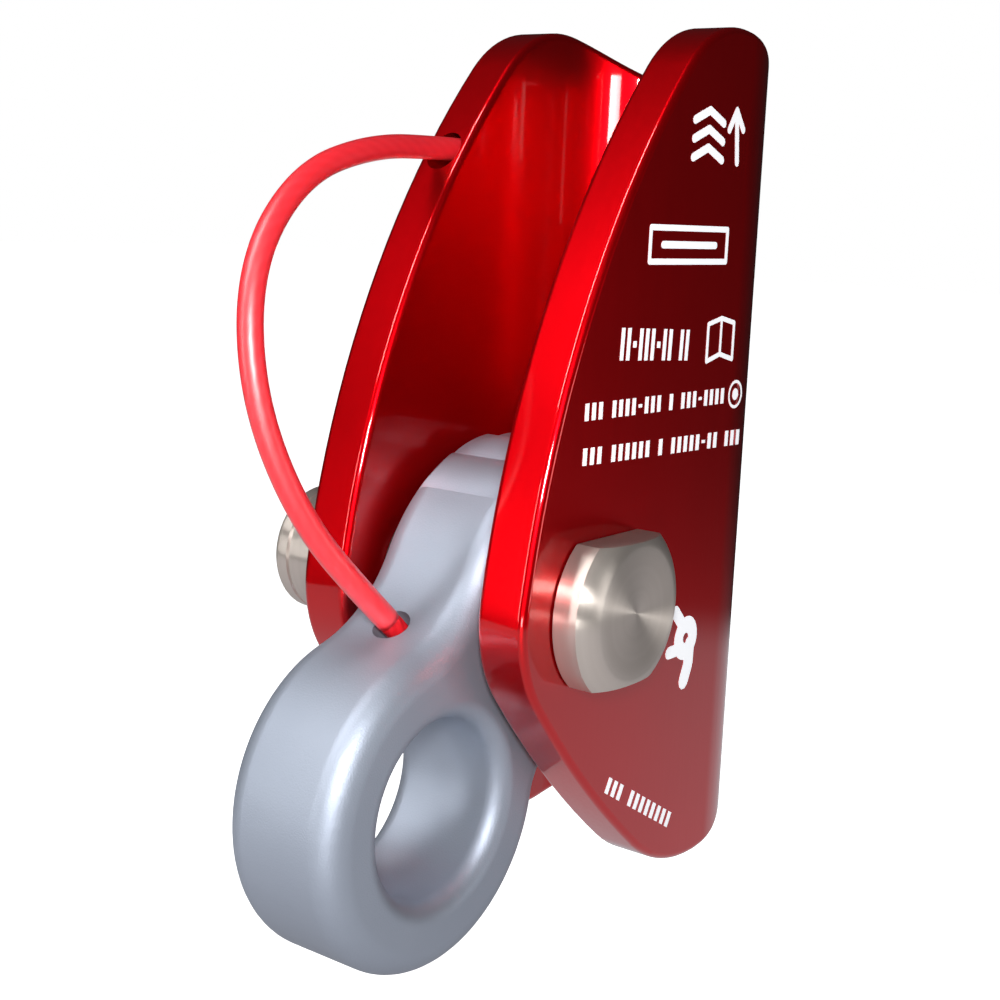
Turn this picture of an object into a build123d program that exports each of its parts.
"""Rope grab: a channel, a toothed cam lever with a karabiner eye, a removable axle with a
bayonet knob, and a short cable that ties the lever to the channel.

Millimetres, +Z up along the rope. The origin is the centre of the karabiner eye. +X points
from the eye towards the rope and +Y runs along the axle, from its fixed head to its knob.
"""
from build123d import *
import math
import os

# Axle position, from the centre of the eye
PIVOT_X = 16.0
PIVOT_Z = 20.5

# Channel
WIDTH = 30.0
WALL = 6.0
GROOVE_X = 25.6         # centre of the channel's round back, behind the axle
TOP = (23.0, 62.2)      # highest point of the side view, from the axle
TOP_FRONT_R = 14.8
NOSE_R = 14.3
FRONT_R = 105.0
LOWER_R = 142.0
BOTTOM = (23.2, -34.7)  # lowest point of the side view, from the axle
BOTTOM_FRONT_R = 20.9
BACK_MARGIN = 1.0       # how far the side view runs past the round back that trims it
EDGE_BREAK = 0.8

# Cam lever
CAM_WIDTH = 15.0
LOBE = (7.8, -4.7)      # centre of the lobe, from the axle
LOBE_R = 20.6
CREST_R = 20.3
VALLEY_R = 19.4
TEETH = 8
TOOTH_PITCH = 22.0      # degrees
FIRST_TOOTH = 131.3     # degrees, at the lobe's front
TOOTH_CLEARANCE = 2.0   # how far the cut that forms the teeth runs past the lobe
RING_R = 17.45
EYE_R = 9.6
RING_EDGE_R = 3.2
EYE_EDGE_R = 2.3
FRONT_NOTCH = (-13.5, -3.0)  # where lobe and ring cross, from the axle
FRONT_NECK_R = 16.0
HEEL_FRONT = (-4.0, -17.3)   # ends of the straight cut under the lobe, from the axle
HEEL_BACK = (26.0, -21.7)
HEEL_DEPTH = 20.0
REAR_NOTCH = (1.3, -18.1)    # where the cut meets the ring
HEEL_CORNER = (20.5, -20.9)  # where the cut meets the lobe
REAR_NECK_R = 5.0
HEEL_R = 5.0

# Axle, bush and washers
SHAFT_R = 6.0
RUNNING_GAP = 0.05
BUSH_WALL = 1.0
WASHER_R = 8.0
WASHER_GAP = 0.1
HEAD_R = 9.6
HEAD_GAP = 0.2
HEAD_RIM = 2.8
HEAD_DOME = 1.5
HEAD_FACE_R = 7.0       # the shallow dish in the head's face
HEAD_FACE_DIP = 0.25
HEAD_SHOULDER_R = 8.6
HEAD_SHOULDER_DROP = 0.58
FLATS = 15.2            # across the head's flats

# Bayonet of the axle and knob
NECK_R = 4.0
KEY_R = 5.6
KEY_WIDTH = 4.6
KEY_START = 20.0
KEY_END = 23.4
KNOB_START = 15.3
KNOB_FLANGE_R = 8.8
KNOB_FLANGE_END = 17.6
KNOB_FLANGE_CHAMFER = 0.6
KNOB_R = 7.4
KNOB_GROOVE_START = 23.7    # the line turned round the knob near its end
KNOB_GROOVE_WIDTH = 0.5
KNOB_GROOVE_DEPTH = 0.35
KNOB_RIM_END = 25.4
KNOB_END = 26.5
KNOB_END_R = 6.2
KNOB_END_BULGE = (7.1, 26.1)
KNOB_SEAT_R = 7.9
KNOB_SEAT_END = 16.4
KNOB_CAVITY_R = 5.8
KNOB_CLEARANCE = 0.2
SPRING_INNER_R = 6.4
SPRING_OUTER_R = 7.7
SPRING_THICKNESS = 0.5
SPRING_RISE = 0.6
SPRING_GAP = 0.15
BALL_R = 1.0
BALL_CENTRE = 4.8
BALL_GAP = 0.05
DIMPLE_OFFSET = 0.15
DETENT_WIRE_R = 0.15
DETENT_COIL_R = 0.7
DETENT_TURNS = 9

# Tether cable
CORE_R = 1.05
SLEEVE_R = 1.3
SHELL_HOLE_R = 2.1
CAM_HOLE_R = 2.0
FIT_GAP = 0.02          # between the core and what grips it
FERRULE_LENGTH = 4.0
SHELL_HOLE_DEPTH = 20.0
SHELL_HOLE_DROP = 0.3   # the hole's axis below the cable's
CAM_HOLE_DEPTH = 14.0
SLEEVE_START = 4.1      # from the cable's end in the channel
SLEEVE_END = 8.3        # from the cable's end in the lever
ROUTE = [
    (30.4, 12.0, 68.1),
    (18.4, 11.9, 68.1),
    (6.0, 10.6, 67.6),
    (-6.1, 9.3, 64.2),
    (-14.6, 7.6, 55.4),
    (-16.2, 5.4, 43.1),
    (-11.7, 3.2, 31.0),
    (-4.1, 0.6, 21.8),
    (5.0, -0.6, 13.5),
]

PIVOT = Vector(PIVOT_X, 0, PIVOT_Z)
SIDE = Plane(origin=PIVOT, x_dir=(1, 0, 0), z_dir=(0, -1, 0))
LENGTHWISE = Plane(origin=PIVOT, x_dir=(1, 0, 0), z_dir=(0, 0, 1))
PIN_AXIS = Axis(PIVOT, (0, 1, 0))
EYE = (-PIVOT_X, -PIVOT_Z)
HALF = WIDTH / 2
GAP = WIDTH - 2 * WALL
BACK_X = GROOVE_X + HALF
BORE_R = SHAFT_R + RUNNING_GAP
KEY_MIDDLE = (KEY_START + KEY_END) / 2


def across(y):
    """The side plane moved along the axle to y, facing the knob."""
    return Plane(origin=PIVOT + Vector(0, y, 0), x_dir=(1, 0, 0), z_dir=(0, 1, 0))


def arc(centre, start, end):
    """The short arc about a centre between two points."""
    centre, start, end = Vector(centre), Vector(start), Vector(end)
    bisector = ((start - centre) + (end - centre)).normalized()
    return ThreePointArc(start, centre + bisector * (start - centre).length, end)


def wrapping_arc(first, first_r, second, second_r, radius):
    """Centre and ends of the arc that touches two circles from outside, left to right."""
    first, second = Vector(first), Vector(second)
    way = second - first
    along = ((radius - first_r) ** 2 - (radius - second_r) ** 2 + way.length**2) / (2 * way.length)
    height = math.sqrt((radius - first_r) ** 2 - along**2)
    unit = way.normalized()
    centre = first + unit * along + Vector(-unit.Y, unit.X) * height
    return centre, *(centre + (spot - centre).normalized() * radius for spot in (first, second))


def polar(centre, radius, degrees):
    angle = math.radians(degrees)
    return centre[0] + radius * math.cos(angle), centre[1] + radius * math.sin(angle)


os.makedirs("parts", exist_ok=True)

# ---------------------------------------------------------------- channel
side_back_x = BACK_X + BACK_MARGIN
top_back_r = side_back_x - TOP[0]
bottom_back_r = side_back_x - BOTTOM[0]
top_front = (TOP[0], TOP[1] - TOP_FRONT_R)
top_back = (TOP[0], TOP[1] - top_back_r)
bottom_front = (BOTTOM[0], BOTTOM[1] + BOTTOM_FRONT_R)
bottom_back = (BOTTOM[0], BOTTOM[1] + bottom_back_r)
front_centre, front_high, front_low = wrapping_arc(top_front, TOP_FRONT_R, (0, 0), NOSE_R, FRONT_R)
lower_centre, lower_high, lower_low = wrapping_arc((0, 0), NOSE_R, bottom_front, BOTTOM_FRONT_R, LOWER_R)
back_high = (side_back_x, top_back[1])
back_low = (side_back_x, bottom_back[1])

with BuildPart() as shell:
    with BuildSketch(SIDE):
        with BuildLine():
            arc(top_front, TOP, front_high)
            arc(front_centre, front_high, front_low)
            arc((0, 0), front_low, lower_high)
            arc(lower_centre, lower_high, lower_low)
            arc(bottom_front, lower_low, BOTTOM)
            arc(bottom_back, BOTTOM, back_low)
            Line(back_low, back_high)
            arc(top_back, back_high, TOP)
        make_face()
    extrude(amount=HALF, both=True)
    with BuildSketch(Plane.XY):
        with Locations((PIVOT_X + GROOVE_X, 0)):
            Circle(HALF)
            Rectangle(3 * HALF, WIDTH, align=(Align.MAX, Align.CENTER))
            Circle(GAP / 2, mode=Mode.SUBTRACT)
            Rectangle(3 * HALF, GAP, align=(Align.MAX, Align.CENTER), mode=Mode.SUBTRACT)
    extrude(amount=WIDTH * 4, both=True, mode=Mode.INTERSECT)
    rims = shell.edges().filter_by(lambda edge: abs(edge.tangent_at(0.5).Y) < 0.1 and edge.length > 2)
    fillet(rims.filter_by(lambda edge: edge.center().X < PIVOT_X + GROOVE_X - 1), radius=EDGE_BREAK)
    with BuildSketch(SIDE):
        Circle(BORE_R)
    extrude(amount=WIDTH, both=True, mode=Mode.SUBTRACT)
    with BuildSketch(Plane(origin=Vector(ROUTE[0]) - Vector(0, 0, SHELL_HOLE_DROP), z_dir=(-1, 0, 0))):
        Circle(SHELL_HOLE_R)
    extrude(amount=SHELL_HOLE_DEPTH, mode=Mode.SUBTRACT)

shell.part.label = "shell"

# ---------------------------------------------------------------- cam lever
tooth_ends = [FIRST_TOOTH - TOOTH_PITCH * tooth for tooth in range(TEETH + 1)]
outer_start, outer_middle, outer_end = (
    polar(LOBE, LOBE_R + TOOTH_CLEARANCE, angle)
    for angle in (tooth_ends[0], tooth_ends[TEETH // 2], tooth_ends[-1]))
cable_end = Vector(ROUTE[-1])
inward = (cable_end - Vector(ROUTE[-2])).normalized()

with BuildPart() as cam:
    with BuildSketch(SIDE) as cam_side:
        with Locations(LOBE):
            Circle(LOBE_R)
        with BuildLine():
            Polyline(
                HEEL_FRONT,
                HEEL_BACK,
                (HEEL_BACK[0], HEEL_BACK[1] - HEEL_DEPTH),
                (HEEL_FRONT[0], HEEL_FRONT[1] - HEEL_DEPTH),
                close=True,
            )
        make_face(mode=Mode.SUBTRACT)
        with Locations(EYE):
            Circle(RING_R)
        fillet(cam_side.vertices().sort_by_distance(FRONT_NOTCH)[0], radius=FRONT_NECK_R)
        fillet(cam_side.vertices().sort_by_distance(REAR_NOTCH)[0], radius=REAR_NECK_R)
        fillet(cam_side.vertices().sort_by_distance(HEEL_CORNER)[0], radius=HEEL_R)
    extrude(amount=CAM_WIDTH / 2, both=True)
    fillet(cam.faces().filter_by(Axis.Y).edges(), radius=RING_EDGE_R)
    with BuildSketch(SIDE):
        with BuildLine():
            for first, last in zip(tooth_ends, tooth_ends[1:]):
                ThreePointArc(
                    polar(LOBE, VALLEY_R, first),
                    polar(LOBE, CREST_R, (first + last) / 2),
                    polar(LOBE, VALLEY_R, last),
                )
            Line(polar(LOBE, VALLEY_R, tooth_ends[-1]), outer_end)
            arc(LOBE, outer_end, outer_middle)
            arc(LOBE, outer_middle, outer_start)
            Line(outer_start, polar(LOBE, VALLEY_R, tooth_ends[0]))
        make_face()
    extrude(amount=CAM_WIDTH, both=True, mode=Mode.SUBTRACT)
    with BuildSketch(SIDE):
        Circle(BORE_R + BUSH_WALL)
        with Locations(EYE):
            Circle(EYE_R)
    extrude(amount=CAM_WIDTH, both=True, mode=Mode.SUBTRACT)
    eye_rims = cam.edges().filter_by(GeomType.CIRCLE).filter_by(
        lambda rim: rim.is_closed and abs(rim.radius - EYE_R) < 0.01)
    fillet(eye_rims, radius=EYE_EDGE_R)
    with BuildSketch(Plane(origin=cable_end, z_dir=-inward)):
        Circle(CAM_HOLE_R)
    extrude(amount=CAM_HOLE_DEPTH, mode=Mode.SUBTRACT)

cam.part.label = "cam"

# ---------------------------------------------------------------- bush and washers
with BuildPart() as cam_bush:
    with BuildSketch(SIDE):
        Circle(BORE_R + BUSH_WALL)
        Circle(BORE_R, mode=Mode.SUBTRACT)
    extrude(amount=CAM_WIDTH / 2, both=True)

cam_bush.part.label = "cam_bush"

washer_thickness = (GAP - CAM_WIDTH) / 2 - 2 * WASHER_GAP

with BuildPart() as far_thrust_washer:
    with BuildSketch(across(CAM_WIDTH / 2 + WASHER_GAP)):
        Circle(WASHER_R)
        Circle(BORE_R + WASHER_GAP, mode=Mode.SUBTRACT)
    extrude(amount=washer_thickness)

far_thrust_washer.part.label = "far_thrust_washer"

with BuildPart() as near_thrust_washer:
    add(far_thrust_washer.part.mirror(Plane.XZ))

near_thrust_washer.part.label = "near_thrust_washer"

# ---------------------------------------------------------------- axle
head_back = -HALF - HEAD_GAP
head_rim = head_back - HEAD_RIM
head_tip = head_rim - HEAD_DOME

with BuildPart() as axle:
    with BuildSketch(LENGTHWISE):
        with BuildLine():
            ThreePointArc(
                (HEAD_FACE_R, head_tip),
                (HEAD_SHOULDER_R, head_tip + HEAD_SHOULDER_DROP),
                (HEAD_R, head_rim),
            )
            Polyline(
                (HEAD_R, head_rim),
                (HEAD_R, head_back),
                (SHAFT_R, head_back),
                (SHAFT_R, KNOB_START),
                (NECK_R, KNOB_START),
                (NECK_R, KEY_START),
                (KEY_R, KEY_START),
                (KEY_R, KEY_END),
                (0, KEY_END),
                (0, head_tip + HEAD_FACE_DIP),
                (HEAD_FACE_R, head_tip),
            )
        make_face()
    revolve(axis=PIN_AXIS)
    with BuildSketch(across(0)):
        Rectangle(4 * HEAD_R, FLATS)
    extrude(amount=2 * WIDTH, both=True, mode=Mode.INTERSECT)
    with BuildSketch(across(KEY_START)):
        Rectangle(4 * KEY_R, 4 * KEY_R)
        Rectangle(4 * KEY_R, KEY_WIDTH, mode=Mode.SUBTRACT)
    extrude(amount=KEY_END, mode=Mode.SUBTRACT)
    with BuildSketch(Plane(origin=PIVOT + Vector(0, KEY_MIDDLE, 0), z_dir=(1, 0, 0))):
        Circle(BALL_R + BALL_GAP)
    extrude(amount=2 * KEY_R, both=True, mode=Mode.SUBTRACT)

axle.part.label = "axle"

# ---------------------------------------------------------------- knob, spring and detent
with BuildPart() as lock_knob:
    with BuildSketch(LENGTHWISE):
        with BuildLine():
            Polyline(
                (0, KNOB_SEAT_END),
                (KNOB_SEAT_R, KNOB_SEAT_END),
                (KNOB_SEAT_R, KNOB_START),
                (KNOB_FLANGE_R, KNOB_START),
                (KNOB_FLANGE_R, KNOB_FLANGE_END - KNOB_FLANGE_CHAMFER),
                (KNOB_FLANGE_R - KNOB_FLANGE_CHAMFER, KNOB_FLANGE_END),
                (KNOB_R, KNOB_FLANGE_END),
                (KNOB_R, KNOB_GROOVE_START),
                (KNOB_R - KNOB_GROOVE_DEPTH, KNOB_GROOVE_START + KNOB_GROOVE_WIDTH / 2),
                (KNOB_R, KNOB_GROOVE_START + KNOB_GROOVE_WIDTH),
                (KNOB_R, KNOB_RIM_END),
            )
            ThreePointArc((KNOB_R, KNOB_RIM_END), KNOB_END_BULGE, (KNOB_END_R, KNOB_END))
            Polyline((KNOB_END_R, KNOB_END), (0, KNOB_END), (0, KNOB_SEAT_END))
        make_face()
    revolve(axis=PIN_AXIS)
    with BuildSketch(across(KEY_START - KNOB_CLEARANCE)):
        Circle(KNOB_CAVITY_R)
    extrude(amount=KEY_END - KEY_START + 2 * KNOB_CLEARANCE, mode=Mode.SUBTRACT)
    with BuildSketch(across(KNOB_SEAT_END)):
        Circle(NECK_R + KNOB_CLEARANCE)
        Rectangle(KEY_WIDTH + 2 * KNOB_CLEARANCE, 2 * KNOB_CAVITY_R)
    extrude(amount=KEY_START - KNOB_SEAT_END, mode=Mode.SUBTRACT)
    dimple_r = BALL_CENTRE + DIMPLE_OFFSET
    for x, z in ((dimple_r, 0), (0, dimple_r), (-dimple_r, 0), (0, -dimple_r)):
        with Locations(PIVOT + Vector(x, KEY_MIDDLE, z)):
            Sphere(BALL_R + BALL_GAP, mode=Mode.SUBTRACT)

lock_knob.part.label = "lock_knob"

spring_top = KNOB_SEAT_END - SPRING_GAP

with BuildPart() as lock_spring:
    with BuildSketch(LENGTHWISE):
        with BuildLine():
            Polyline(
                (SPRING_INNER_R, spring_top),
                (SPRING_OUTER_R, spring_top - SPRING_RISE),
                (SPRING_OUTER_R, spring_top - SPRING_RISE - SPRING_THICKNESS),
                (SPRING_INNER_R, spring_top - SPRING_THICKNESS),
                close=True,
            )
        make_face()
    revolve(axis=PIN_AXIS)

lock_spring.part.label = "lock_spring"

with BuildPart() as detent_balls:
    for side in (-1, 1):
        with Locations(PIVOT + Vector(side * BALL_CENTRE, KEY_MIDDLE, 0)):
            Sphere(BALL_R)

detent_balls.part.label = "detent_balls"

coil_length = 2 * (BALL_CENTRE - BALL_R - DETENT_WIRE_R - BALL_GAP)
coil_start = PIVOT + Vector(-coil_length / 2, KEY_MIDDLE, 0)

with BuildPart() as detent_spring:
    with BuildLine() as coil:
        Helix(coil_length / DETENT_TURNS, coil_length, DETENT_COIL_R, center=coil_start, direction=(1, 0, 0))
    with BuildSketch(Plane(origin=coil.line @ 0, z_dir=coil.line % 0)):
        Circle(DETENT_WIRE_R)
    sweep(path=coil.line, is_frenet=True)

detent_spring.part.label = "detent_spring"

# ---------------------------------------------------------------- tether
route = [Vector(point) for point in ROUTE]
runs = [after - before for before, after in zip(route, route[1:])]
bends = [
    0.45 * min(before.length, after.length) / math.tan(math.radians(before.get_angle(after)) / 2)
    for before, after in zip(runs, runs[1:])
]

with BuildPart() as tether_core:
    with BuildLine() as core_line:
        FilletPolyline(*route, radius=bends)
    core_path = core_line.wire()
    with BuildSketch(Plane(origin=core_path @ 0, z_dir=core_path % 0)):
        Circle(CORE_R)
    sweep(path=core_path)

tether_core.part.label = "tether_core"

core_length = core_path.length
sleeve_path = core_path.trim(SLEEVE_START / core_length, 1 - SLEEVE_END / core_length)

with BuildPart() as tether_sleeve:
    with BuildSketch(Plane(origin=sleeve_path @ 0, z_dir=sleeve_path % 0)):
        Circle(SLEEVE_R)
        Circle(CORE_R + FIT_GAP, mode=Mode.SUBTRACT)
    sweep(path=sleeve_path)

tether_sleeve.part.label = "tether_sleeve"

with BuildPart() as shell_ferrule:
    with BuildSketch(Plane(origin=route[0], z_dir=runs[0])):
        Circle(SLEEVE_R)
        Circle(CORE_R + FIT_GAP, mode=Mode.SUBTRACT)
    extrude(amount=FERRULE_LENGTH)

shell_ferrule.part.label = "shell_ferrule"

with BuildPart() as cam_ferrule:
    with BuildSketch(Plane(origin=cable_end, z_dir=-inward)):
        Circle(CAM_HOLE_R - FIT_GAP)
        Circle(CORE_R + FIT_GAP, mode=Mode.SUBTRACT)
    extrude(amount=FERRULE_LENGTH)

cam_ferrule.part.label = "cam_ferrule"

for piece in (
    shell, cam, axle, lock_knob, tether_sleeve, tether_core, cam_bush, near_thrust_washer,
    far_thrust_washer, lock_spring, detent_balls, detent_spring, shell_ferrule, cam_ferrule,
):
    export_step(piece.part, f"parts/{piece.part.label}.step")

print("cable bends", [round(bend, 1) for bend in bends])
print("core length", round(core_length, 2), "sleeve length", round(sleeve_path.length, 2))
core_section = math.pi * CORE_R**2
sleeve_section = math.pi * (SLEEVE_R**2 - (CORE_R + FIT_GAP) ** 2)
core_volume = core_section * core_length
print("core volume over section times length", tether_core.part.volume / core_volume)
sleeve_volume = sleeve_section * sleeve_path.length
print("sleeve volume over section times length", tether_sleeve.part.volume / sleeve_volume)
